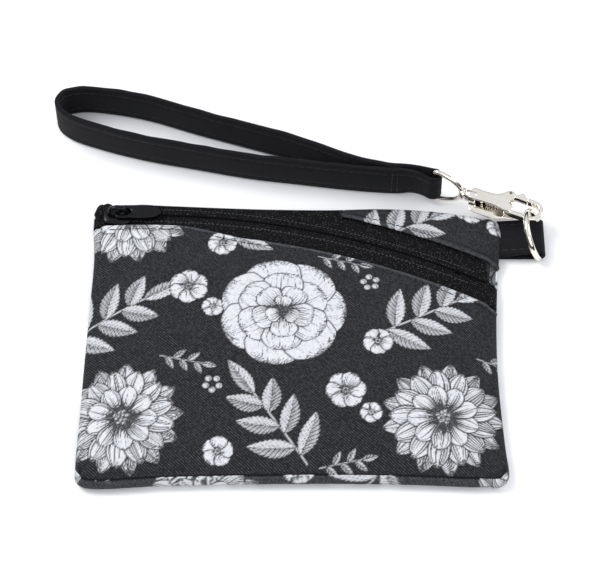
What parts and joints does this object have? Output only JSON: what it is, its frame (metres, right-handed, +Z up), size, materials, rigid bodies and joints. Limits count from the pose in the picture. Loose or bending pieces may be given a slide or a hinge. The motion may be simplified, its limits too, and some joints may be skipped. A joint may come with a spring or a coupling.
{
  "type": "wristlet wallet",
  "caption": "Small zipped cotton pouch with a curved front zip, side tab with D-ring, swivel lever hook and a detachable stitched wrist strap.",
  "frame": {"origin": "middle of the pouch's flat back, on the surface it rests on", "axes": "+X right along the pouch towards the side tab, +Y towards the zipped top edge, +Z up out of the printed front"},
  "size_m": [0.1565, 0.1416, 0.0154],
  "materials": {
    "print_cloth": "printed quilting cotton, matt, near black with a pale line-drawn flower print",
    "lining_cloth": "plain matt cotton",
    "zip_tape": "black woven herringbone polyester tape",
    "zip_coil": "black nylon coil",
    "slider_black": "glossy black enamel",
    "thread": "black polyester sewing thread",
    "strap_cloth": "black cotton strip, stitched edges",
    "nickel": "polished nickel plating, slightly warm"
  },
  "bodies": {
    "pouch": {"outer_back": "print_cloth", "outer_front_lower": "print_cloth", "outer_front_upper": "print_cloth", "lining_back": "lining_cloth", "lining_front_lower": "lining_cloth", "lining_front_upper": "lining_cloth", "zip_tape_lower": "zip_tape", "zip_tape_upper": "zip_tape", "zip_coil_lower": "zip_coil", "zip_coil_upper": "zip_coil", "zip_bottom_stop": "nickel", "topstitch_lower": "thread", "topstitch_upper": "thread", "side_tab": "strap_cloth", "tab_stitching": "thread"},
    "slider": {"zip_slider": "slider_black"},
    "pull": {"zip_pull": "slider_black"},
    "ring": {"tab_ring": "nickel"},
    "hook": {"hook_body": "nickel", "gate_pin": "nickel"},
    "gate": {"hook_gate": "nickel"},
    "eye": {"swivel_eye": "nickel"},
    "strap": {"wrist_strap": "strap_cloth"}
  },
  "joints": [
    {"name": "slider_travel", "type": "hinge", "parent": "pouch", "child": "slider", "pos_m": [-0.0485, -0.1917, 0], "axis": [0, 0, -1], "range_deg": [0, 24.9]},
    {"name": "pull_flip", "type": "hinge", "parent": "slider", "child": "pull", "pos_m": [-0.05641, 0.04667, 0.00655], "axis": [0.0332, -0.9995, 0], "range_deg": [0, 165]},
    {"name": "ring_swing", "type": "hinge", "parent": "pouch", "child": "ring", "pos_m": [0.0763, 0.0394, 0.00225], "axis": [0, 1, 0], "range_deg": [0, 100]},
    {"name": "hook_turn_on_ring", "type": "hinge", "parent": "ring", "child": "hook", "pos_m": [0.0736, 0.0462, 0.0079], "axis": [0, 0, 1], "range_deg": [-100, 0]},
    {"name": "gate_open", "type": "hinge", "parent": "hook", "child": "gate", "pos_m": [0.06801, 0.05192, 0.0079], "axis": [0, 0, -1], "range_deg": [0, 38], "stiffness_Nm_per_rad": 0.01, "springref_deg": -11.46},
    {"name": "swivel", "type": "hinge", "parent": "hook", "child": "eye", "pos_m": [0.0527, 0.0531, 0.0079], "axis": [0.9243, -0.3817, 0], "continuous": true},
    {"name": "strap_swing", "type": "hinge", "parent": "eye", "child": "strap", "pos_m": [0.04383, 0.05676, 0.0079], "axis": [0, 0, 1], "range_deg": [-60, 0]}
  ]
}
